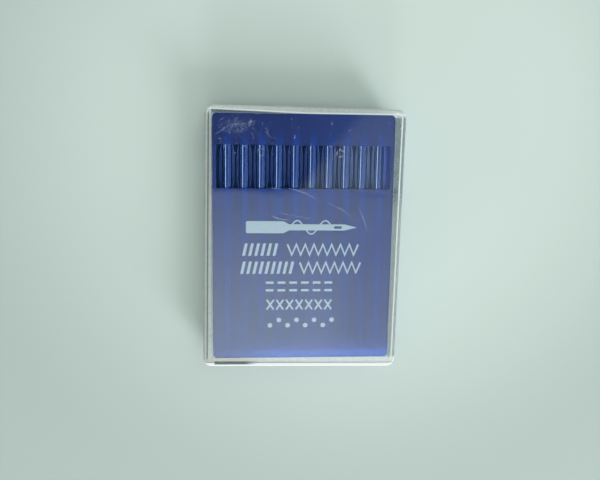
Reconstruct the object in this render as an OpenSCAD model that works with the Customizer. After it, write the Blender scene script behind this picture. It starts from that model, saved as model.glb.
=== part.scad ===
// Case of ten sewing machine needles.
// A clear cover slides on a clear base. A blue insert lies in the base: a comb that holds the
// needles side by side, and a see-through front panel with a clearer, thinner window over their shanks.
// Millimetres. X is across the needles, Y runs from their points to their butts, and +Z is the front.
// The origin is the middle of the back, on the surface that the case lies on.

/* [Needles] */
// Distance between the axes of two needles
needle_pitch = 3.6; // [3.5:0.05:3.8]
// Length of a needle from butt to point
needle_l = 44.9; // [43:0.1:47]
// Diameter of the shank
shank_d = 2; // [1.9:0.02:2.04]
// Length of the round shank
shank_l = 13.6; // [12.5:0.1:15]
// Chamfer round the butt
butt_chamfer = 0.25; // [0.1:0.05:0.4]
// Length of the cone between shank and blade
shoulder_l = 2.6; // [2:0.1:4]
// Diameter of the blade
blade_d = 1.1; // [0.9:0.05:1.3]
// Length over which the blade narrows to the point
point_l = 4.6; // [3.5:0.1:5.5]
// Radius of the rounded tip
tip_r = 0.12; // [0.08:0.01:0.16]
// Width of the eye
eye_w = 0.44; // [0.3:0.02:0.5]
// Length of the eye
eye_l = 1.5; // [1:0.1:2]
// Distance from the tip to the lower end of the eye
eye_from_tip = 4.3; // [4:0.1:5]
// Width of the thread groove along the front of the blade
groove_w = 0.44; // [0.3:0.02:0.5]
// Depth of the thread groove
groove_depth = 0.34; // [0.2:0.02:0.4]
// Length of the scarf, the hollow behind the eye
scarf_l = 6; // [4:0.5:8]
// Depth of the scarf
scarf_depth = 0.26; // [0.1:0.02:0.3]

/* [Insert] */
// Distance from the outer needles' sides to the long edges of the insert
side_margin = 2.05; // [1.9:0.05:2.6]
// Distance from the butts to the top edge of the insert
top_margin = 2.7; // [2:0.1:4]
// Distance from the points to the bottom edge of the insert
bottom_margin = 5.3; // [4.5:0.1:7]
// Thickness of the comb's floor behind the needles
comb_floor_t = 0.8; // [0.6:0.05:1.2]
// How far the comb stays inside the panel's outline
comb_inset = 0.15; // [0.1:0.05:0.3]
// Space past the points in the needle channels
point_room = 0.5; // [0.3:0.1:1.5]
// Thickness of the front panel
panel_t = 0.6; // [0.5:0.05:0.8]
// Corner radius of the insert
insert_corner_r = 1; // [0.6:0.1:1.6]
// Thickness of the clear window, which is hollowed out from the back of the panel
window_t = 0.35; // [0.25:0.05:0.45]
// Length of the window over the shanks
window_l = 9.1; // [7:0.1:11]
// Distance from the butts to the window
window_from_butt = 3.85; // [3:0.05:4.5]
// Width of the strip left at each end of the window
window_side = 0.8; // [0.6:0.05:0.85]
// Corner radius of the window
window_corner_r = 0.3; // [0.2:0.05:0.5]
// Thickness of a gripping pad at its middle
pad_t = 0.56; // [0.4:0.02:0.6]
// Thickness of a gripping pad at its ends
pad_end_t = 0.2; // [0.16:0.02:0.3]
// Length of a pad's tapered ends
pad_taper_l = 2; // [1:0.1:2.5]
// Height of a pad above the needle's axis
pad_rise = 0.45; // [0.2:0.05:0.6]
// How far the slots between the pads stay above the bottom of the channels
slot_rise = 0.2; // [0.1:0.05:0.4]
// Width of the hollow in the back of the bottom bar
core_w = 2.6; // [1.5:0.1:2.8]
// Depth of the hollow in the back of the bottom bar
core_depth = 1.9; // [1:0.1:2]
// Distance from the ends of that hollow to the comb's sides
core_end_wall = 2.4; // [1.5:0.1:4]
// Angle by which the loose insert lies turned in its case
insert_turn = 0.6; // [-0.6:0.1:0.6]

/* [Clear case] */
// Thickness of the cover's front plate
plate_t = 0.8; // [0.6:0.05:1.2]
// Thickness of the cover's side walls
skirt_t = 0.65; // [0.5:0.05:0.9]
// Thickness of the walls across both ends
end_wall_t = 0.8; // [0.6:0.05:1.2]
// Thickness of the base's floor
floor_t = 0.8; // [0.7:0.05:1.2]
// Thickness of the base's side rails
rail_t = 0.6; // [0.5:0.05:0.9]
// Distance from the top end of the insert to the rails
rail_from_top = 15.5; // [13:0.5:20]
// Length of the taper at the rails' upper ends
lead_in_l = 1.6; // [1:0.1:3]
// Width of the foot that joins a rail to the floor
foot_w = 1.35; // [1.3:0.05:1.6]
// Height of that foot
foot_h = 0.65; // [0.5:0.05:0.7]
// Reach of the cover's lips under the rails
lip_reach = 0.75; // [0.6:0.05:0.8]
// Thickness of the lips
lip_t = 0.55; // [0.4:0.05:0.55]
// Outer corner radius of the case
corner_r = 1.9; // [1.6:0.1:2.2]
// Radius of the rounded front edges
edge_r = 0.45; // [0.2:0.05:0.5]
// Length of the corner blocks at the base's end
corner_block_l = 2.3; // [2.25:0.05:3]
// Radius of the base's two inner corners
inner_corner_r = 0.7; // [0.4:0.1:0.9]
// Length of a retaining nib
nib_l = 3.2; // [2:0.1:4]
// Reach of a nib from its rail
nib_reach = 0.45; // [0.42:0.01:0.5]
// Thickness of a nib over the panel
nib_t = 0.22; // [0.2:0.01:0.24]
// Distance from the bottom edge of the insert to the middle of the nibs
nib_from_end = 7.3; // [5:0.1:12]

/* [Clearances] */
// Clearance round a needle in its channel
channel_clear = 0.02; // [0.02:0.01:0.06]
// Clearance between the shanks and the panel
panel_clear = 0.13; // [0.1:0.01:0.2]
// Clearance between sliding faces
slide_clear = 0.15; // [0.15:0.01:0.2]
// Sideways play of the insert between the rails
insert_play = 0.4; // [0.38:0.02:0.5]
// Clearance at the seat below the insert
seat_clear = 0.1; // [0.08:0.02:0.2]
// Gap between the insert's top edge and the cover's end wall
top_gap = 0.6; // [0.5:0.05:0.9]
// Gap between the insert's bottom edge and the base's end wall
bottom_gap = 0.9; // [0.7:0.05:1.1]
// Clearance between the nibs and the panel's face
nib_clear = 0.03; // [0.02:0.01:0.05]

/* [Hidden] */
$fn = 64;
needle_count = 10;

// Plain numbers of the drawing: an overshoot for cuts, and the steps along the needle's point
cut = 1;
point_steps = 6;

// Needles
shank_r = shank_d / 2;
blade_r = blade_d / 2;
channel_r = shank_r + channel_clear;
outer_axis_x = (needle_count - 1) / 2 * needle_pitch;

// Insert, in its own frame with the middle at zero
insert_w = 2 * (outer_axis_x + shank_r + side_margin);
insert_l = top_margin + needle_l + bottom_margin;
butt_y = insert_l / 2 - top_margin;
channel_y0 = butt_y - needle_l - point_room;
window_y1 = butt_y - window_from_butt;
window_y0 = window_y1 - window_l;
window_w = insert_w - 2 * window_side;

// Heights from the back to the front
comb_z0 = floor_t;
channel_z0 = comb_z0 + comb_floor_t;
axis_z = channel_z0 + channel_r;
panel_z0 = axis_z + shank_r + panel_clear;
panel_z1 = panel_z0 + panel_t;
rail_z1 = panel_z1 + nib_clear + nib_t;
plate_z0 = rail_z1 + slide_clear;
case_h = plate_z0 + plate_t;
foot_z1 = floor_t + foot_h;
lip_z0 = floor_t - slide_clear - lip_t;

// Widths from the insert to the outside
rail_x0 = insert_w / 2 + insert_play;
rail_x1 = rail_x0 + rail_t;
skirt_x0 = rail_x1 + slide_clear;
case_w = 2 * (skirt_x0 + skirt_t);
lip_x0 = skirt_x0 - lip_reach;
floor_x1 = lip_x0 - slide_clear;
foot_x0 = rail_x1 - foot_w;
comb_foot_w = 2 * (foot_x0 - insert_play);

// Lengths along the case
case_l = end_wall_t + bottom_gap + insert_l + top_gap + end_wall_t;
end_y0 = -case_l / 2;
wall_y = end_y0 + end_wall_t;
top_wall_y = case_l / 2 - end_wall_t;
insert_y = wall_y + bottom_gap + insert_l / 2;
insert_end_y = wall_y + bottom_gap;
seat_y = insert_end_y - insert_w / 2 * abs(sin(insert_turn)) - seat_clear;
rail_y1 = insert_y + insert_l / 2 - rail_from_top;
block_y = end_y0 + corner_block_l;
nib_y = insert_end_y + nib_from_end;
floor_y1 = top_wall_y - slide_clear;

// Rectangle with round corners, centred
module round_rect(w, l, r) {
    square([w - 2 * r, l], center = true);
    square([w, l - 2 * r], center = true);
    for (x = [-1, 1], y = [-1, 1])
        translate([x * (w / 2 - r), y * (l / 2 - r)])
            circle(r);
}

// Box between two corners
module span(low, high) {
    translate(low)
        cube(high - low);
}

// Upright section with its two upper corners rounded
module crowned_section(w, h, r) {
    translate([-w / 2, 0])
        square([w, h - r]);
    translate([-w / 2 + r, 0])
        square([w - 2 * r, h]);
    for (x = [-1, 1])
        translate([x * (w / 2 - r), h - r])
            circle(r);
}

// Round post with a rounded upper edge, for a corner of the case
module crowned_post(r, h, edge) {
    rotate_extrude()
        intersection() {
            crowned_section(2 * r, h, edge);
            square([r + cut, h + cut]);
        }
}

// The outer form that base and cover share: round corners and rounded front edges
module case_form() {
    rotate([90, 0, 0])
        linear_extrude(height = case_l - 2 * corner_r, center = true)
            crowned_section(case_w, case_h, edge_r);
    rotate([90, 0, 90])
        linear_extrude(height = case_w - 2 * corner_r, center = true)
            crowned_section(case_l, case_h, edge_r);
    for (x = [-1, 1], y = [-1, 1])
        translate([x * (case_w / 2 - corner_r), y * (case_l / 2 - corner_r), 0])
            crowned_post(corner_r, case_h, edge_r);
}

// Places what belongs to the insert in the case
module in_insert() {
    translate([0, insert_y, 0])
        rotate([0, 0, insert_turn])
            children();
}

function needle_x(i) = -outer_axis_x + (i - 1) * needle_pitch;

// One side rail on its foot, for the side of +X
module side_rail() {
    difference() {
        union() {
            span([rail_x0, wall_y, floor_t], [rail_x1, rail_y1, rail_z1]);
            span([foot_x0, wall_y, floor_t], [rail_x1, rail_y1, foot_z1]);
        }
        translate([0, 0, foot_z1])
            linear_extrude(height = case_h)
                polygon([
                    [rail_x0 - cut, rail_y1 - lead_in_l],
                    [rail_x0, rail_y1 - lead_in_l],
                    [rail_x1, rail_y1 + cut * lead_in_l / rail_t],
                    [rail_x0 - cut, rail_y1 + cut * lead_in_l / rail_t]
                ]);
    }
}

// Low nib on a rail that reaches over the edge of the front panel
module nib() {
    translate([0, nib_y, rail_z1 - nib_t])
        linear_extrude(height = nib_t)
            polygon([
                [rail_x0 + rail_t / 2, -nib_l / 2],
                [rail_x0, -nib_l / 2],
                [rail_x0 - nib_reach, -nib_l / 2 + nib_reach],
                [rail_x0 - nib_reach, nib_l / 2 - nib_reach],
                [rail_x0, nib_l / 2],
                [rail_x0 + rail_t / 2, nib_l / 2]
            ]);
}

// End of the base: the wall across it, and a block in each corner that the cover stops at
module base_end() {
    intersection() {
        case_form();
        difference() {
            union() {
                span([-case_w, end_y0 - cut, -cut], [case_w, wall_y, case_h + cut]);
                span([-case_w, end_y0 - cut, -cut], [case_w, block_y, rail_z1]);
            }
            translate([0, wall_y + case_l / 2, floor_t])
                linear_extrude(height = case_h)
                    round_rect(2 * rail_x0, case_l, inner_corner_r);
        }
    }
    span([-rail_x0, wall_y, floor_t], [rail_x0, seat_y, axis_z]);
}

module case_base() {
    color([0.86, 0.9, 0.9, 0.35]) {
        translate([0, (wall_y + floor_y1) / 2, 0])
            linear_extrude(height = floor_t)
                round_rect(2 * floor_x1, floor_y1 - wall_y, insert_corner_r);
        base_end();
        for (side = [0, 1])
            mirror([side, 0, 0]) {
                side_rail();
                nib();
            }
    }
}

module sliding_cover() {
    color([0.88, 0.92, 0.92, 0.3]) {
        difference() {
            case_form();
            translate([0, top_wall_y - case_l, -cut])
                linear_extrude(height = plate_z0 + cut)
                    round_rect(2 * skirt_x0, 2 * case_l, corner_r - skirt_t);
            span([-case_w, end_y0 - cut, -cut], [case_w, wall_y + slide_clear, case_h + cut]);
            span([-case_w, end_y0 - cut, -cut], [case_w, block_y + slide_clear, plate_z0]);
            span([-case_w, -case_l, -cut], [case_w, case_l, lip_z0]);
        }
        for (side = [0, 1])
            mirror([side, 0, 0])
                span([lip_x0, block_y + slide_clear, lip_z0],
                    [skirt_x0 + skirt_t / 2, top_wall_y - corner_r, lip_z0 + lip_t]);
    }
}

// Channel of one needle: a U-shaped groove, open at the front and at the top end
module channel() {
    channel_l = insert_l / 2 + cut - channel_y0;
    translate([0, channel_y0 + channel_l, axis_z])
        rotate([90, 0, 0])
            linear_extrude(height = channel_l) {
                circle(channel_r);
                translate([-channel_r, 0])
                    square([2 * channel_r, case_h]);
            }
}

// The pair of pads that grip one shank in the window
module pads() {
    half = channel_r + pad_t;
    end_half = channel_r + pad_end_t;
    translate([0, 0, channel_z0])
        linear_extrude(height = axis_z + pad_rise - channel_z0)
            polygon([
                [-end_half, window_y0], [-half, window_y0 + pad_taper_l],
                [-half, window_y1 - pad_taper_l], [-end_half, window_y1],
                [end_half, window_y1], [half, window_y1 - pad_taper_l],
                [half, window_y0 + pad_taper_l], [end_half, window_y0]
            ]);
}

module needle_comb() {
    comb_w = insert_w - 2 * comb_inset;
    comb_l = insert_l - 2 * comb_inset;
    comb_corner_r = insert_corner_r - comb_inset;
    core_x = comb_foot_w / 2 - core_end_wall;
    core_y = (channel_y0 - comb_l / 2) / 2;
    color([0.1, 0.16, 0.5, 0.9])
        in_insert()
            difference() {
                union() {
                    difference() {
                        translate([0, 0, comb_z0])
                            linear_extrude(height = panel_z0 - comb_z0)
                                round_rect(comb_w, comb_l, comb_corner_r);
                        span([-window_w / 2, window_y0, channel_z0 + slot_rise],
                            [window_w / 2, window_y1, case_h]);
                    }
                    for (i = [1 : needle_count])
                        translate([needle_x(i), 0, 0])
                            pads();
                }
                for (i = [1 : needle_count])
                    translate([needle_x(i), 0, 0])
                        channel();
                for (side = [0, 1])
                    mirror([side, 0, 0])
                        span([comb_foot_w / 2, -insert_l, 0], [insert_w, insert_l, foot_z1 + slide_clear]);
                span([-core_x, core_y - core_w / 2, comb_z0 - cut],
                    [core_x, core_y + core_w / 2, comb_z0 + core_depth]);
            }
}

module front_panel() {
    color([0.16, 0.24, 0.62, 0.7])
        in_insert()
            difference() {
                translate([0, 0, panel_z0])
                    linear_extrude(height = panel_t)
                        round_rect(insert_w, insert_l, insert_corner_r);
                translate([0, (window_y0 + window_y1) / 2, panel_z1 - window_t - case_h])
                    linear_extrude(height = case_h)
                        round_rect(window_w, window_l, window_corner_r);
            }
}

// Radius of the point at a share t of its length, from blade to tip
function point_r(t) = tip_r + (blade_r - tip_r) * (1 - pow(t, 1.7));

// A needle with its butt at zero and its point along +Z. +Y is the side with the thread groove.
module needle_form() {
    blade_end = needle_l - point_l;
    eye_end = needle_l - eye_from_tip;
    eye_top = eye_end - eye_l;
    groove_z0 = shank_l + shoulder_l * 0.6;
    scarf_z = eye_top - scarf_l / 4;
    scarf_r = (pow(scarf_l / 2, 2) + pow(scarf_depth, 2)) / (2 * scarf_depth);
    difference() {
        rotate_extrude()
            polygon(concat(
                [[0, 0], [shank_r - butt_chamfer, 0], [shank_r, butt_chamfer],
                    [shank_r, shank_l], [blade_r, shank_l + shoulder_l]],
                [for (s = [0 : point_steps])
                    [point_r(s / point_steps), blade_end + (point_l - tip_r) * s / point_steps]],
                [[0, needle_l]]));
        for (z = [eye_top + eye_w / 2, eye_end - eye_w / 2])
            translate([0, 0, z])
                rotate([90, 0, 0])
                    cylinder(d = eye_w, h = shank_d, center = true);
        span([-eye_w / 2, -shank_r, eye_top + eye_w / 2], [eye_w / 2, shank_r, eye_end - eye_w / 2]);
        translate([0, blade_r - groove_depth + groove_w / 2, groove_z0])
            cylinder(d = groove_w, h = eye_end - eye_w / 2 - groove_z0);
        span([-groove_w / 2, blade_r - groove_depth + groove_w / 2, groove_z0],
            [groove_w / 2, shank_r, eye_end - eye_w / 2]);
        translate([0, scarf_depth - blade_r - scarf_r, scarf_z])
            rotate([0, 90, 0])
                cylinder(r = scarf_r, h = shank_d, center = true, $fn = 256);
    }
}

module needle(i) {
    color([0.78, 0.8, 0.83])
        in_insert()
            translate([needle_x(i), butt_y, axis_z])
                rotate([90, 0, 0])
                    needle_form();
}

case_base();
sliding_cover();
needle_comb();
front_panel();
for (i = [1 : needle_count])
    needle(i);
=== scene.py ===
import math
import random

import bmesh
import bpy
from mathutils import Matrix, Vector


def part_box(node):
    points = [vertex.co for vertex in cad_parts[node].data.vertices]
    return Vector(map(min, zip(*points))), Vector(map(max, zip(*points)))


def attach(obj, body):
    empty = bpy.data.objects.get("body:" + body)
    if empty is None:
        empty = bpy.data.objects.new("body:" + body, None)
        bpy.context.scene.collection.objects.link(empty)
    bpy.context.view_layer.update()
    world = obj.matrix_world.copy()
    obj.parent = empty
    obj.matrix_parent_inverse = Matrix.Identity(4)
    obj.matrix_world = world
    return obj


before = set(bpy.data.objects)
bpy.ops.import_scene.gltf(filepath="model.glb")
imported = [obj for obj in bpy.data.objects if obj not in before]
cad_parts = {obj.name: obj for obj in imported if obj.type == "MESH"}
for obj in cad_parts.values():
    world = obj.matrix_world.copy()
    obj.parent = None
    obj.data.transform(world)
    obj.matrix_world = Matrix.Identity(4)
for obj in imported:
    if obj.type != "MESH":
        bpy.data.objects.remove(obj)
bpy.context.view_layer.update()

# The camera stands above the upper left part of the closed case, 15 cm off, and looks almost
# straight down on it, as the photograph does. It leans a little to the left.
mm = 0.001
camera_at = Vector((-13.4, 24.65, 153.2)) * mm
camera_aim = Vector((-0.7, 0.1, 5.55)) * mm
camera_lean = math.radians(1.51)
camera_lens = 42.28
camera_nearest = 2 * mm
camera_back = (camera_at - camera_aim).normalized()
camera_right = Vector((-math.sin(camera_lean), math.cos(camera_lean), 0)).cross(camera_back).normalized()
camera_turn = Matrix((camera_right, camera_back.cross(camera_right), camera_back)).transposed()
camera = bpy.data.objects.new("camera", bpy.data.cameras.new("camera"))
camera.data.lens = camera_lens
camera.data.clip_start = camera_nearest
camera.matrix_world = Matrix.Translation(camera_at) @ camera_turn.to_4x4()
bpy.context.scene.collection.objects.link(camera)
bpy.context.scene.camera = camera


# The light of a pale room. A large low source at the near right throws the case's soft shadow up and to
# the left, and a warm strip at the left draws the thin line along each shank. The glossy front mirrors
# the edge of a card that hangs over the near part. Windows shine low down in front and at the right.
def softbox(name, at, size, radiance, colour, aim=(0, 0, 0)):
    """Rectangular light, with its place, sides and aim in millimetres"""
    lamp = bpy.data.lights.new(name, "AREA")
    lamp.shape = "RECTANGLE"
    lamp.size, lamp.size_y = (side * mm for side in size)
    lamp.energy = radiance * math.pi * lamp.size * lamp.size_y
    lamp.color = colour
    placed = bpy.data.objects.new(name, lamp)
    turn = (Vector(at) - Vector(aim)).normalized().to_track_quat("Z", "Y").to_matrix()
    placed.matrix_world = Matrix.Translation(Vector(at) * mm) @ turn.to_4x4()
    bpy.context.scene.collection.objects.link(placed)


softbox("near_light", (1080, -1382, 404), size=(634, 700), radiance=28.0, colour=(0.99, 1.0, 1.0))
softbox("low_light", (62, -1780, 250), size=(252, 380), radiance=56.0, colour=(1.0, 1.0, 1.0))
softbox("left_strip", (-250, -8, 290), size=(50, 66), radiance=5.0, colour=(1.0, 0.90, 0.47), aim=(0, 10, 3))
softbox("right_light", (220, 260, 240), size=(200, 160), radiance=1.8, colour=(0.97, 1.0, 1.0))


def placed_mesh(name, made):
    """Object from a bmesh that lies at the origin"""
    mesh = bpy.data.meshes.new(name)
    made.to_mesh(mesh)
    made.free()
    piece = bpy.data.objects.new(name, mesh)
    bpy.context.scene.collection.objects.link(piece)
    return piece


class Value:
    """Socket in a material, wrapped so that masks can be worked out as plain expressions"""

    def __init__(self, finish, socket):
        self.finish, self.socket = finish, socket

    def math(self, operation, *others):
        return self.finish.node("ShaderNodeMath", {"operation": operation}, self, *others)

    def __add__(self, other):
        return self.math("ADD", other)

    def __sub__(self, other):
        return self.math("SUBTRACT", other)

    def __rsub__(self, other):
        return self.finish.node("ShaderNodeMath", {"operation": "SUBTRACT"}, other, self)

    def __mul__(self, other):
        return self.math("MULTIPLY", other)

    def __truediv__(self, other):
        return self.math("DIVIDE", other)

    def __abs__(self):
        return self.math("ABSOLUTE")

    __radd__, __rmul__ = __add__, __mul__

    def larger(self, other):
        return self.math("MAXIMUM", other)

    def smaller(self, other):
        return self.math("MINIMUM", other)

    def ramp(self, low, high):
        """Soft step from 0 at the first value to 1 at the second, which may be the smaller one"""
        soft = {"interpolation_type": "SMOOTHSTEP"}
        return self.finish.node("ShaderNodeMapRange", soft, self, low, high, 0, 1)

    def band(self, middle, outer, inner):
        """1 up to the inner distance from a middle, and 0 past the outer one"""
        return abs(self - middle).ramp(outer, inner)

    def between(self, low, high, edge):
        """1 between two values, with edges that are soft by so much to each side"""
        return (self - low).ramp(-edge, edge) * (high - self).ramp(-edge, edge)


class Finish:
    """Node tree of a material or of the room"""

    def __init__(self, owner):
        self.owner = owner
        owner.use_nodes = True
        self.tree = owner.node_tree
        self.tree.nodes.clear()

    def node(self, kind, settings, *values, output=0, **named):
        """Node of a kind, with its settings, and its sockets' values or links in order or by name"""
        made = self.tree.nodes.new(kind)
        for key, setting in settings.items():
            setattr(made, key, setting)
        given = list(zip(made.inputs, values))
        given += [(made.inputs[name.replace("_", " ")], value) for name, value in named.items()]
        for socket, value in given:
            if isinstance(value, Value):
                self.tree.links.new(value.socket, socket)
            else:
                socket.default_value = value
        return Value(self, made.outputs[output])

    def place(self, centre=(0, 0, 0), turn=0.0):
        """Object coordinates in millimetres, from a centre and along a turned frame"""
        spot = self.node("ShaderNodeTexCoord", {}, output="Object")
        return self.node("ShaderNodeMapping", {"vector_type": "TEXTURE"},
                         spot, Vector(centre) * mm, (0, 0, turn), (mm, mm, mm))

    def axes(self, spot):
        split = self.node("ShaderNodeSeparateXYZ", {}, spot).socket.node
        return [Value(self, socket) for socket in split.outputs]

    def stretched(self, spot, scales):
        return self.node("ShaderNodeVectorMath", {"operation": "MULTIPLY"}, spot, scales)

    def noise(self, spot, scale, detail=2.0):
        return self.node("ShaderNodeTexNoise", {}, Vector=spot, Scale=scale, Detail=detail)

    def blend(self, share, low, high):
        """Colour between two, by a share"""
        low_input, high_input, colour_output = 6, 7, 2
        mix = self.node("ShaderNodeMix", {"data_type": "RGBA"}, share, output=colour_output)
        for number, colour in ((low_input, low), (high_input, high)):
            socket = mix.socket.node.inputs[number]
            if isinstance(colour, Value):
                self.tree.links.new(colour.socket, socket)
            else:
                socket.default_value = (*colour, 1)
        return mix

    def mixed(self, share, first, second):
        """Shader between two, by a share"""
        return self.node("ShaderNodeMixShader", {}, share, first, second)

    def plastic(self, **sockets):
        return self.node("ShaderNodeBsdfPrincipled", {}, **sockets)

    def see_through(self, colour):
        return self.node("ShaderNodeBsdfTransparent", {}, (*colour, 1))

    def end(self, shader, kind="ShaderNodeOutputMaterial"):
        self.tree.links.new(shader.socket, self.tree.nodes.new(kind).inputs["Surface"])
        return self.owner


# The card has a straight edge over the near part and a slanted one over the right part, and shines
# more towards the front. Both edges are soft, as they are in the mirror image on the case.
card_height = 300
card_outline = [(-70, -18), (16, -18), (27, -10), (40, 8), (55, 32), (90, 75), (120, 79), (120, -170),
                (-70, -170)]
slant_x, slant_y, slant_at = 0.783, -0.623, 23.7
card_light, card_rise, corner_loss = 0.42, 1.6, 0.26
card_corners = [(x * mm, y * mm, card_height * mm) for x, y in reversed(card_outline)]
card_mesh = bmesh.new()
card_mesh.faces.new([card_mesh.verts.new(corner) for corner in card_corners])
card = placed_mesh("overhead_card", card_mesh)
card.visible_camera = False
glow = Finish(bpy.data.materials.new("card_glow"))
x, y = glow.axes(glow.place())[:2]
slanted_edge = (x * slant_x + y * slant_y - slant_at).ramp(-1, 10)
straight_edge = y.ramp(-17.9, -18.6)
near_corner = x.ramp(35, 70) * y.ramp(-22, -60)
brightness = (y.ramp(40, -140) * card_rise + card_light) * slanted_edge.larger(straight_edge)
card.data.materials.append(glow.end(glow.node(
    "ShaderNodeEmission", {}, (0.94, 1.06, 0.95, 1), brightness * (1 - near_corner * corner_loss))))

# The room is darker overhead and at the left, and its windows are low down in front and at the right.
# Its own coordinates are the directions in which the case sees it.
overhead_x, overhead_y, overhead_z = 0.09, -0.05, 0.995
room_light, overhead_loss, left_light = 0.64, 0.88, 0.45
front_window, right_window = 7.0, 3.0
world = bpy.data.worlds.new("room")
bpy.context.scene.world = world
room = Finish(world)
right, far, up = room.axes(room.node("ShaderNodeTexCoord", {}))
overhead = (right * overhead_x + far * overhead_y + up * overhead_z).ramp(0.955, 0.99)
sides = right.ramp(-0.75, -0.25) * (1 - left_light) + left_light
windows = (-1 * far).ramp(0.75, 0.95) * front_window + right.ramp(0.85, 0.97) * right_window
strength = (1 - overhead * overhead_loss) * sides * room_light + up.ramp(0.16, 0.06) * windows
room.end(room.node("ShaderNodeBackground", {}, (0.92, 1.0, 0.99, 1), strength), "ShaderNodeOutputWorld")
bpy.context.scene.view_settings.view_transform = "Khronos PBR Neutral"

# The table is a plain pale surface, matt and with the faintest clouds, just under the case's back. Its
# colour is painted lightest round the case's upper end and darker away from there, a painted pool of light.
table_size = 1200
table_drop = 0.02
lightest_at, lightest_reach, darkest_reach = (10, 30, 0), 38, 96
table_mesh = bmesh.new()
bmesh.ops.create_grid(table_mesh, x_segments=1, y_segments=1, size=table_size / 2 * mm)
bmesh.ops.translate(table_mesh, verts=table_mesh.verts, vec=(0, 0, -table_drop * mm))
table = placed_mesh("table", table_mesh)
pale = Finish(bpy.data.materials.new("pale_table"))
spot = pale.place()
away = pale.node("ShaderNodeVectorMath", {"operation": "DISTANCE"}, spot, lightest_at, output="Value")
cloud = pale.noise(spot, 0.02).ramp(0.3, 0.7)
lightest = pale.blend(cloud, (0.63, 0.713, 0.685), (0.65, 0.732, 0.704))
# Painted light: the colour darkens away from the case's upper end
painted_light_falloff = away.ramp(lightest_reach, darkest_reach)
table.data.materials.append(pale.end(pale.plastic(
    Base_Color=pale.blend(painted_light_falloff, lightest, (0.475, 0.54, 0.525)), Roughness=0.75)))

# The base and the cover are moulded in clear plastic, with thin walls, glossy faces and rounded edges.
# Light passes through them to the insert, a little dimmed. The walls' upper edges are painted pale for
# the light that they carry, with some streaky scuffing, and painted dark as shade towards the right and
# in the gap at the top. Each joint has a line painted dark at the left and pale as a highlight at the
# right, and the base's end wall is painted white as a highlight, with painted shade at its left.
cover_low, cover_high = (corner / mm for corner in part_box("sliding_cover"))
case_half_x, case_half_y, case_corner = cover_high.x, cover_high.y, 1.9
lid_end_y, end_wall_y = cover_low.y, -27.2
insert_turn = math.radians(0.6)
insert_lean = math.tan(insert_turn)
side_width, shaded_extra = 1.66, 0.34
top_width, foot_extra, wedge_slope = 1.4, 0.6, 0.034
joint_inset, joint_outer, joint_inner = 0.82, 0.21, 0.08
top_line_inset, top_line_outer, top_line_inner = 0.16, 0.2, 0.08
wall_share, streak_share, deep_shade_share, edge_share = 0.46, 0.08, 0.16, 0.3
joint_share, gap_shadow_share, top_line_share = 0.3, 0.6, 0.25
patch_x, patch_y, patch_half_x, patch_half_y, patch_share = -14.6, 23.8, 4.6, 2.3, 0.06
seam_near, seam_far, end_edge, rim_near, rim_far = 0.05, 0.28, 0.1, 0.3, 0.65
seam_share, end_glow_share = 0.75, 0.93


def case_inset(x, y):
    """Distance inwards from the case's rounded outline"""
    over_x, over_y = abs(x) - (case_half_x - case_corner), abs(y) - (case_half_y - case_corner)
    out_x, out_y = over_x.larger(0.0), over_y.larger(0.0)
    return case_corner - (out_x * out_x + out_y * out_y).math("SQRT") - over_x.larger(over_y).smaller(0.0)


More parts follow.
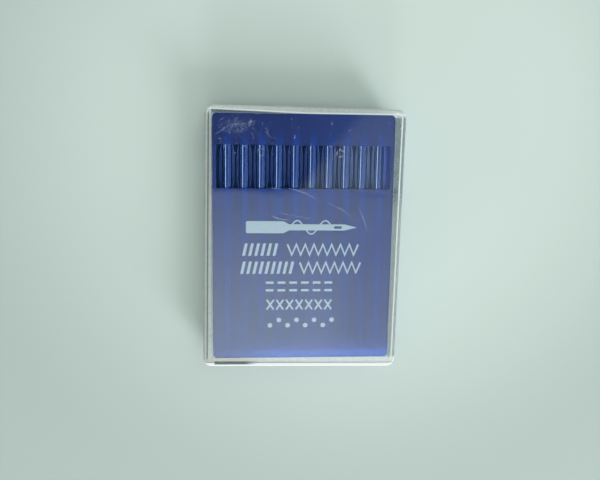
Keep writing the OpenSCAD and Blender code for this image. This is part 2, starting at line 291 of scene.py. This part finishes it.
def wall_light_and_scuffs(clear, spot):
    """Share and colour of the painted light and shade on the walls' upper edges, with some scuffing, and the
    share that they leave clear
    """
    x, y, z = clear.axes(spot)
    inset, end_inset = case_inset(x, y), case_half_y - abs(y)
    upper = z.ramp(4.6, 5.0)
    rightwards = x.ramp(-4.0, 14.0)
    # Painted shade: the walls are dark towards the right, darkest at the upper right, but not the top wall
    shaded = rightwards * y.ramp(26.8, 26.2)
    deep_shade = shaded * y.ramp(4.0, 12.0)

    # Each wall is as wide as the turned insert leaves it, and at the top a gap opens to the left, painted
    # dark as shadow
    side_reach = y * x.math("SIGN") * insert_lean + side_width + shaded * shaded_extra
    insert_reach = y.ramp(1.0, -1.0) * foot_extra + x * y.math("SIGN") * -insert_lean + top_width
    wedge = (x * -wedge_slope).larger(0.0) * y.ramp(20.0, 24.0)
    end_reach = insert_reach - wedge
    wall = (side_reach - case_half_x + abs(x)).larger(end_reach - end_inset).ramp(-0.1, 0.15) * upper
    gap_shadow = (insert_reach - end_inset).ramp(-0.1, 0.1) * wedge.ramp(0.0, 0.3) * upper * (1 - wall)
    top_highlight = (end_reach - end_inset).band(top_line_inset, top_line_outer, top_line_inner)
    top_highlight = top_highlight * y.ramp(26.0, 26.3) * wall
    joint_stretch = y.ramp(-26.8, -26.0) * y.ramp(27.0, 26.0).larger(x.ramp(18.3, 19.3))
    joint = inset.band(joint_inset, joint_outer, joint_inner) * wall * joint_stretch

    # Painted light and shade: pale walls at the left and dark ones at the right, the top wall paler to the
    # left with a painted highlight along its inside, a painted shadow in the gap, the lower end darker and
    # yellower at the left, and each joint line dark at the left and a highlight at the right
    colour = clear.blend(shaded, (0.52, 0.56, 0.57), (0.20, 0.225, 0.225))
    colour = clear.blend(deep_shade, colour, (0.12, 0.15, 0.165))
    top_wall = clear.blend(x.ramp(-16.0, 4.0), (0.78, 0.81, 0.79), (0.64, 0.67, 0.65))
    colour = clear.blend(y.ramp(26.0, 26.8), colour, top_wall)
    colour = clear.blend(top_highlight, colour, (0.76, 0.84, 0.86))
    colour = clear.blend(gap_shadow, colour, (0.05, 0.075, 0.12))
    foot_wall = clear.blend(x.ramp(-14.0, -4.0), (0.56, 0.54, 0.47), (0.76, 0.77, 0.76))
    colour = clear.blend(y.ramp(-25.6, -26.1), colour, foot_wall)
    joint_shade_and_highlight = clear.blend(rightwards, (0.10, 0.12, 0.12), (0.78, 0.84, 0.82))
    colour = clear.blend(joint, colour, joint_shade_and_highlight)

    # More of the paint at the outer edge on the lit side, a painted highlight, with streaks of scuffing
    streaks = clear.noise(clear.stretched(spot, (1.2, 1.2, 0.2)), 1.0, 3.0).ramp(0.3, 0.7)
    lit_outer_edge = (1 - shaded) * inset.ramp(0.6, 0.2)
    share = wall * (streaks * streak_share + wall_share + deep_shade * deep_shade_share + lit_outer_edge * edge_share)
    share = share + joint * joint_share + gap_shadow * gap_shadow_share + top_highlight * top_line_share
    return share, colour, (1 - wall) * (1 - gap_shadow)


def haze_and_painted_light(clear, spot):
    """Share and colour of the scuffs and of the painted light and shade on the clear plastic"""
    x, y, z = clear.axes(spot)
    share, colour, elsewhere = wall_light_and_scuffs(clear, spot)

    # Patch of fine scuffs on the cover's face, at the upper left
    from_x, from_y = (x - patch_x) / patch_half_x, (y - patch_y) / patch_half_y
    patch = (from_x * from_x + from_y * from_y).ramp(1.0, 0.0) * clear.noise(spot, 1.1, 4.0).ramp(0.35, 0.75)
    colour = clear.blend(patch * elsewhere, colour, (0.62, 0.66, 0.80))
    share = share.larger(patch * z.ramp(5.4, 5.5) * patch_share)

    # End wall painted white as a highlight and the seam before it pale where lit, both with painted shade
    # over a short stretch at the left
    upper = z.ramp(4.8, 5.2)
    lit = x.ramp(-12.5, -8.5).larger(x.ramp(-18.4, -18.9))
    seam = y.ramp(lid_end_y + seam_far, lid_end_y + seam_near) * upper
    colour = clear.blend(seam, colour, clear.blend(lit, (0.06, 0.07, 0.09), (0.58, 0.60, 0.60)))
    end = y.ramp(end_wall_y, end_wall_y - end_edge) * upper
    rim = y.ramp(end_wall_y - rim_near, end_wall_y - rim_far)
    colour = clear.blend(end, colour, clear.blend(lit.larger(rim), (0.16, 0.17, 0.18), (0.97, 0.98, 0.97)))
    return share.larger(seam * seam_share).larger(end * end_glow_share), colour


def clear_plastic(name, tint, dimmed, roughness, dull_share):
    """Clear plastic, which shadows and soft light pass through straight, only dimmed"""
    clear = Finish(bpy.data.materials.new(name))
    spot = clear.place()
    light_and_scuff_share, light_and_scuff_colour = haze_and_painted_light(clear, spot)
    ripple = clear.noise(spot, 0.5, 3.0)
    bump = clear.node("ShaderNodeBump", {}, Strength=0.015, Distance=0.02 * mm, Height=ripple)
    body = clear.plastic(
        Base_Color=(*tint, 1), Roughness=roughness, IOR=1.5, Transmission_Weight=1.0, Normal=bump)
    body = clear.mixed(dull_share, body, clear.plastic(Base_Color=(0.8, 0.82, 0.85, 1)))
    # Mixed over the body: the scuffs and the painted light and shade of the walls
    body = clear.mixed(light_and_scuff_share, body, clear.plastic(Base_Color=light_and_scuff_colour, Roughness=0.5))
    straight = clear.node("ShaderNodeLightPath", {}, output="Is Shadow Ray") \
        + clear.node("ShaderNodeLightPath", {}, output="Is Diffuse Ray")
    return clear.end(clear.mixed(straight, body, clear.see_through(dimmed)))


def set_finish(node, material):
    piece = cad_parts[node]
    piece.data.materials.clear()
    piece.data.materials.append(material)


def round_edges(node, radius):
    """Rounding of a moulded piece's sharp edges, whose triangles are joined first"""
    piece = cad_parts[node]
    weld = piece.modifiers.new("weld", "WELD")
    weld.merge_threshold = weld_reach * mm
    bevel = piece.modifiers.new("rounded_edges", "BEVEL")
    bevel.width = radius * mm
    bevel.segments = 3
    bevel.use_clamp_overlap = False
    bevel.limit_method = "ANGLE"
    bevel.angle_limit = sharp_edge
    bevel.harden_normals = True


edge_radius, weld_reach, sharp_edge = 0.05, 0.002, math.radians(50)
set_finish("case_base", clear_plastic(
    "clear_base", tint=(0.965, 0.975, 0.97), dimmed=(0.92, 0.935, 0.93), roughness=0.04, dull_share=0.04))
set_finish("sliding_cover", clear_plastic(
    "clear_cover", tint=(0.98, 0.985, 0.985), dimmed=(0.93, 0.94, 0.94), roughness=0.04, dull_share=0.008))
round_edges("case_base", edge_radius)
round_edges("sliding_cover", edge_radius)

# The needles are steel, plated and polished nearly to a mirror, with fine grinding marks along their
# length. They lie in the comb with their points towards the base's end wall.
needle_count = 10
polish, grain_dulling = 0.035, 0.02
steel = Finish(bpy.data.materials.new("needle_steel"))
grain = steel.noise(steel.stretched(steel.place(), (14.0, 0.35, 14.0)), 1.0, 3.0)
bump = steel.node("ShaderNodeBump", {}, Strength=0.03, Distance=0.01 * mm, Height=grain)
steel_material = steel.end(steel.plastic(
    Base_Color=steel.blend(grain.ramp(0.3, 0.7), (0.58, 0.62, 0.70), (0.70, 0.73, 0.79)),
    Metallic=1.0, Roughness=grain.ramp(0.2, 0.8) * grain_dulling + polish, Normal=bump))
for number in range(1, needle_count + 1):
    set_finish(f"needle_{number}", steel_material)

# The comb is moulded in dark blue plastic. Ten pairs of pads grip the shanks in the window, and a
# highlight is painted along their outer edges. The comb is painted paler towards the right, where more
# light falls. The insert, which is the comb with its panel, lies loose and a little turned in the base,
# so the patterns on both are measured from its centre and along its turn.
panel_low, panel_high = (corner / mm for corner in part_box("front_panel"))
insert_centre = Vector((0, (panel_low.y + panel_high.y) / 2, 0))
needle_pitch = 3.6
window_x, window_y0, window_y1 = 18.45, 10.8, 19.9
pad_half, pad_end_half, pad_taper = 1.58, 1.22, 2.0
pad_edge, pad_edge_core, pad_end_edge = 0.12, 0.036, 0.05
pad_low_z, pad_top_z = 2.7, 2.95
pad_highlight_share, pad_highlight_loss = 0.95, 0.6


def across_needle(x):
    """Distance to the right from the nearest needle's axis"""
    return (x + needle_pitch / 2).math("WRAP", needle_pitch / 2, -needle_pitch / 2)


comb = Finish(bpy.data.materials.new("comb_plastic"))
spot = comb.place(insert_centre, insert_turn)
x, y, z = comb.axes(spot)
taper = (y - window_y0).smaller(window_y1 - y) / pad_taper
half = taper.smaller(1.0) * (pad_half - pad_end_half) + pad_end_half
# Painted highlight along the pads' upper outer edges, strongest where they taper
pad_edge_highlight = abs(across_needle(x)).band(half, pad_edge, pad_edge_core) * z.ramp(pad_low_z, pad_top_z)
pad_edge_highlight = pad_edge_highlight * y.between(window_y0, window_y1, pad_end_edge) * (pad_highlight_share - taper.ramp(0.5, 1.1) * pad_highlight_loss)
cloud = comb.noise(spot, 0.8, 3.0)
comb_bump = comb.node("ShaderNodeBump", {}, Strength=0.1, Distance=0.02 * mm, Height=comb.noise(spot, 6.0))
comb_colour = comb.blend(cloud.ramp(0.3, 0.7), (0.165, 0.175, 0.235), (0.205, 0.215, 0.28))
# Painted light: paler towards the right, and pale blue beyond the last needle on the right
comb_colour = comb.blend(x.ramp(0.0, 14.0), comb_colour, (0.35, 0.38, 0.42))
comb_colour = comb.blend(pad_edge_highlight, comb_colour, (0.62, 0.66, 0.78))
comb_colour = comb.blend(x.ramp(16.6, 17.6), comb_colour, (0.52, 0.58, 0.88))
set_finish("needle_comb", comb.end(comb.plastic(Base_Color=comb_colour, Roughness=0.32, Normal=comb_bump)))

# The front panel is moulded in blue plastic, nearly closed, with blurred streaks painted where the needles
# lie behind it, and above the window it is painted lighter towards the right as a reflection. Its window is
# clear and shows the shanks, with darker patches just below, painted as a dark reflection. Its lower edge is
# painted brighter, because light enters there.
butt_y, point_y = 23.75, -21.15
window_edge, window_shade = 0.06, 1.0
streak_half, streak_spread, streak_shift = 1.1, 0.1, 0.2
streak_low, streak_rise = 0.52, 0.25
dark_reflection_share, left_dark_reflection_x, left_dark_reflection_y, right_dark_reflection_y = 0.8, -7.0, 9.8, 9.5
foot_glow, foot_edge_glow, foot_left, foot_rise = 0.4, 0.6, 0.2, 0.62
closed_share, window_opening = 0.92, 0.9
panel = Finish(bpy.data.materials.new("panel_plastic"))
spot = panel.place(insert_centre, insert_turn)
x, y = panel.axes(spot)[:2]
window = (window_x - abs(x)).ramp(-window_edge, window_edge) * y.between(window_y0, window_y1, window_edge)
above = y.ramp(window_y1 - window_shade, window_y1)
patches = panel.noise(spot, 0.16, 3.0).ramp(0.35, 0.75)
lower_blue = panel.blend(patches, (0.045, 0.066, 0.238), (0.047, 0.074, 0.288))
# Painted reflection: above the window the blue is lighter towards the right
upper_blue = panel.blend(x.ramp(-6.0, 12.0), (0.040, 0.056, 0.20), (0.048, 0.072, 0.25))
colour = panel.blend(above, lower_blue, upper_blue)

drift = panel.noise(panel.stretched(spot, (0.5, 0.07, 1.0)), 1.0).ramp(0.25, 0.75) * 0.5 + 0.5
streak = 1 - abs(across_needle(x) - streak_shift) / (above * streak_spread + streak_half)
streak = streak.ramp(0.0, 0.95) * (y - point_y).ramp(-5.0, 2.0) * (butt_y - y).ramp(0.0, 4.2) * drift
streak = streak * (needle_pitch * needle_count / 2 - abs(x)).ramp(-0.1, 0.1)
colour = panel.blend(streak * (y.ramp(2.0, 9.0) * streak_rise + streak_low), colour, (0.028, 0.085, 0.46))

# Painted dark reflection: darker, bluer patches just below the window
right_dark_reflection = y.band(right_dark_reflection_y, 0.9, 0.2) * x.ramp(5.0, 9.0)
left_dark_reflection = y.band(left_dark_reflection_y, 1.5, 0.5) * x.band(left_dark_reflection_x, 4.5, 2.0)
dark_reflection_shape = panel.noise(panel.stretched(spot, (0.25, 1.1, 1.0)), 1.0, 3.0).ramp(0.42, 0.6)
colour = panel.blend(dark_reflection_shape * right_dark_reflection.larger(left_dark_reflection) * dark_reflection_share, colour, (0.015, 0.045, 0.26))
# Painted light at the lower edge, where light enters, brighter towards the right
foot = y.ramp(-20.5, -25.5) * foot_glow + y.ramp(-24.2, -25.2) * foot_edge_glow
foot = foot * (x.ramp(-18.0, -4.0) * foot_rise + foot_left)
colour = panel.blend(foot, colour, (0.10, 0.19, 0.77))

body = panel.plastic(Base_Color=colour, Roughness=0.28, IOR=1.5)
in_shadow = panel.node("ShaderNodeLightPath", {}, output="Is Shadow Ray")
tint = panel.mixed(in_shadow, panel.see_through((0.70, 0.77, 0.965)), panel.see_through((1, 1, 1)))
set_finish("front_panel", panel.end(panel.mixed(closed_share - window * window_opening, tint, body)))

# The print on the panel is one thin layer of white ink: a needle with its thread, and below it five
# rows of plain stitch patterns. It is laid on the panel's face, and turned with the insert.
ink_z, ink_t, ink_lift = panel_high.z, 0.012, 0.004
sharpest_mitre = 0.5
print_mesh = bmesh.new()


def ink_face(points, lift=0.0):
    """Flat patch of ink from its corners, turned to face up"""
    face = print_mesh.faces.new([print_mesh.verts.new((px, py, ink_z + ink_t + lift)) for px, py in points])
    face.normal_update()
    if face.normal.z < 0:
        face.normal_flip()


def ink_line(points, width, lift=0.0):
    """Stroke of ink along a line, with mitred corners"""
    points = [Vector(point) for point in points]
    left, right = [], []
    for index, point in enumerate(points):
        ahead = points[min(index + 1, len(points) - 1)] - point
        behind = point - points[max(index - 1, 0)]
        ahead = ahead.normalized() if ahead.length else behind.normalized()
        behind = behind.normalized() if behind.length else ahead
        way = (ahead + behind).normalized()
        side = Vector((-way.y, way.x)) * width / 2 / max(way.dot(ahead), sharpest_mitre)
        left.append(point + side)
        right.append(point - side)
    for index in range(len(points) - 1):
        ink_face([right[index], right[index + 1], left[index + 1], left[index]], lift)


def ink_round(centre, radius, corners=20):
    ink_face([(centre[0] + radius * math.cos(2 * math.pi * k / corners),
               centre[1] + radius * math.sin(2 * math.pi * k / corners)) for k in range(corners)])


# Needle, with its shank, shoulder and blade in two halves round the eye
needle_y = 2.55
butt, butt_full, shank_end, blade_start = -12.2, -12.0, -4.2, -3.0
eye_start, eye_end, eye_slope, point_start, tip = 6.6, 8.4, 0.2, 9.0, 11.6
shank_half, blade_half, eye_half = 1.3, 0.66, 0.27
butt_half = 0.8 * shank_half
for side in (-1, 1):
    outer = [(butt, butt_half), (butt_full, shank_half), (shank_end, shank_half), (blade_start, blade_half),
             (point_start, blade_half), (tip, 0.0)]
    inner = [(eye_end, 0.0), (eye_end - eye_slope, eye_half), (eye_start + eye_slope, eye_half),
             (eye_start, 0.0), (butt, 0.0)]
    ink_face([(px, needle_y + side * py) for px, py in outer + inner][::-side])

# Thread, which winds about the blade from just behind the eye
thread_start, thread_step, thread_points, thread_width = 6.3, 0.13, 71, 0.28
wave_half, wave_turn = 1.45, 0.135
ink_line([(thread_start - thread_step * k, needle_y + wave_half * math.sin(wave_turn * k))
          for k in range(thread_points)], thread_width, ink_lift)

# Two rows of slanted satin stitches that go over into a zigzag
row_half = 1.35
satin_pitch, satin_width, satin_slant = 1.3, 0.62, 0.60
zigzag_gap, zigzag_pitch, zigzag_half, zigzag_width = 0.6, 1.9, 0.85 * row_half, 0.42
for row_y, row_start, satin_end, row_end in ((-2.3, -13.0, -3.9, 12.0), (-6.25, -13.4, -1.2, 12.6)):
    for k in range(int((satin_end - row_start) / satin_pitch)):
        left_x = row_start + k * satin_pitch
        slanted_x = left_x + satin_slant
        ink_face([(left_x, row_y - row_half), (left_x + satin_width, row_y - row_half),
                  (slanted_x + satin_width, row_y + row_half), (slanted_x, row_y + row_half)])
    zigzag_start = satin_end + zigzag_gap
    turns = 2 * round((row_end - zigzag_start) / zigzag_pitch)
    ink_line([(zigzag_start + (row_end - zigzag_start) * k / turns,
               row_y + (-zigzag_half if k % 2 else zigzag_half)) for k in range(turns + 1)], zigzag_width)

# Running stitches in two lines, crosses, and dots that go up and down
running_start, running_pitch, running_length, running_width = -7.9, 2.55, 1.7, 0.5
for k in range(6):
    for running_y in (-9.55, -11.25):
        left_x = running_start + running_pitch * k
        ink_line([(left_x, running_y), (left_x + running_length, running_y)], running_width)
cross_start, cross_pitch, cross_y, cross_half, cross_rise, cross_width = -6.9, 2.1, -14.45, 0.75, 1.1, 0.38
for k in range(7):
    cross_x = cross_start + cross_pitch * k
    for lean in (-1, 1):
        ink_line([(cross_x - cross_half, cross_y - cross_rise * lean),
                  (cross_x + cross_half, cross_y + cross_rise * lean)], cross_width, ink_lift * lean)
dot_start, dot_pitch, dot_low_y, dot_high_y, dot_radius = -6.9, 1.93, -19.1, -17.9, 0.52
for k in range(8):
    ink_round((dot_start + dot_pitch * k, dot_high_y if k % 2 else dot_low_y), dot_radius)

print_turn = Matrix.Rotation(insert_turn, 3, "Z")
bmesh.ops.rotate(print_mesh, verts=print_mesh.verts, cent=(0, 0, 0), matrix=print_turn)
bmesh.ops.translate(print_mesh, verts=print_mesh.verts, vec=insert_centre)
bmesh.ops.scale(print_mesh, verts=print_mesh.verts, vec=(mm, mm, mm))
ink_print = placed_mesh("panel_print", print_mesh)
ink = Finish(bpy.data.materials.new("white_ink"))
speckle = ink.noise(ink.place(), 5.0, 3.0).ramp(0.3, 0.7)
ink_print.data.materials.append(ink.end(ink.plastic(
    Base_Color=ink.blend(speckle, (0.40, 0.52, 0.66), (0.46, 0.58, 0.70)), Roughness=0.5)))
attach(ink_print, "base")

# The cover is a used one, and its front is scratched from lying among other cases. Short scratches lie
# in a patch at the upper left, long arcs over the middle, two small rings in the window and specks
# near both ends. They are pale slivers that lie just above the front.
scratch_z, scratch_lift, scratch_step = cover_high.z, 0.004, 0.00001
scratch_tip = 0.08
front_half_x = 18.6
faintest, fade_range = 0.08, 0.28
rng = random.Random(7)
scratch_mesh = bmesh.new()


def scratch(points, width):
    """Shallow scratch that narrows almost to nothing at both ends, each at a height of its own"""
    height = scratch_z + scratch_lift + scratch_step * len(scratch_mesh.faces)
    points = [Vector(point) for point in points]
    count = len(points) - 1
    sides = []
    for index, point in enumerate(points):
        way = (points[min(index + 1, count)] - points[max(index - 1, 0)]).normalized()
        half = width / 2 * math.sin(math.pi * (scratch_tip + (1 - 2 * scratch_tip) * index / count))
        across = Vector((-way.y, way.x)) * half
        sides.append([scratch_mesh.verts.new((*(point + sign * across), height)) for sign in (-1, 1)])
    for near, far in zip(sides, sides[1:]):
        scratch_mesh.faces.new([near[0], far[0], far[1], near[1]])


def bent(start, middle, end, steps=10):
    """Points on a smooth arc through three"""
    start, middle, end = Vector(start), Vector(middle), Vector(end)
    pull = 2 * middle - (start + end) / 2
    return [start.lerp(pull, k / steps).lerp(pull.lerp(end, k / steps), k / steps) for k in range(steps + 1)]


def short_scratch(x, y, lean, lengths, widths):
    """Straight scratch about a place, with its length and its width drawn from two ranges"""
    way = Matrix.Rotation(lean, 2) @ Vector((rng.uniform(*lengths), 0))
    scratch([Vector((x, y)) - way / 2, (x, y), Vector((x, y)) + way / 2], rng.uniform(*widths))


# Long arcs over the middle, then nicks and two curls at the upper left
scratch(bent((-3.4, 11.1), (0.4, 10.0), (3.2, 8.3)), 0.26)
scratch(bent((5.0, 8.1), (8.0, 6.8), (10.3, 4.9)), 0.16)
scratch(bent((-7.2, 5.5), (-5.5, 4.7), (-3.0, 4.3)), 0.28)
scratch(bent((-6.3, 6.1), (-2.2, 5.3), (1.9, 4.6)), 0.16)
scratch(bent((11.5, 7.3), (12.7, 5.0), (13.8, 1.6)), 0.24)
scratch([(-7.2, 11.1), (-6.0, 11.0), (-4.8, 11.0)], 0.2)
scratch([(-18.9, 21.9), (-17.7, 22.7), (-16.5, 23.4)], 0.2)
scratch([(-18.0, 24.9), (-17.4, 25.2), (-16.9, 25.5)], 0.2)
scratch([(-11.4, 25.3), (-11.5, 24.6), (-11.7, 23.8)], 0.3)
scratch([(-12.3, 24.6), (-11.6, 24.7), (-10.9, 24.7)], 0.2)
scratch([(-9.0, 24.8), (-9.2, 24.3), (-8.8, 23.9)], 0.24)
scratch(bent((-8.7, 23.5), (-7.9, 23.0), (-8.5, 22.6)), 0.18)
scratch(bent((-8.5, 22.6), (-7.7, 22.1), (-8.2, 21.6)), 0.18)

# The patch, the marks round it, the specks near both ends and finer ones over the rest
for k in range(120):
    short_scratch(rng.gauss(-14.2, 1.8), rng.gauss(23.9, 0.85),
                  rng.choice((0.6, 0.9, 2.2)) + rng.gauss(0, 0.35), (0.3, 1.2), (0.04, 0.10))
for k in range(24):
    short_scratch(rng.uniform(-front_half_x, -6.5), rng.uniform(20.0, 25.6),
                  rng.uniform(0, math.pi), (0.3, 0.9), (0.08, 0.2))
for k in range(70):
    short_scratch(rng.uniform(-front_half_x, front_half_x),
                  rng.choice((rng.uniform(-26.0, -21.5), rng.uniform(17.5, 25.5))),
                  rng.uniform(0, math.pi), (0.2, 0.8), (0.18, 0.34))
for k in range(40):
    short_scratch(rng.uniform(-front_half_x, front_half_x), rng.uniform(-21.5, 10.0),
                  rng.uniform(0, math.pi), (0.05, 0.35), (0.06, 0.16))

# The rings, each of three arcs. The right one is pressed in twice.
ring_radius, ring_width = 0.72, 0.24
arc_starts, arc_step, arc_points = (0.2, 2.2, 4.2), 0.17, 11
for ring_x, ring_y in ((-9.3, 18.5), (7.3, 18.6), (7.3, 18.6)):
    for start in arc_starts:
        turns = [start + arc_step * k for k in range(arc_points)]
        scratch([(ring_x + ring_radius * math.cos(turn), ring_y + ring_radius * math.sin(turn))
                 for turn in turns], ring_width)

bmesh.ops.scale(scratch_mesh, verts=scratch_mesh.verts, vec=(mm, mm, mm))
scratches = placed_mesh("cover_scratches", scratch_mesh)
scar = Finish(bpy.data.materials.new("scratch_white"))
fade = scar.noise(scar.place(), 1.6, 3.0).ramp(0.3, 0.75)
scratches.data.materials.append(scar.end(scar.plastic(
    Base_Color=(0.66, 0.75, 0.97, 1), Roughness=0.6, Alpha=fade * fade_range + faintest)))
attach(scratches, "cover")
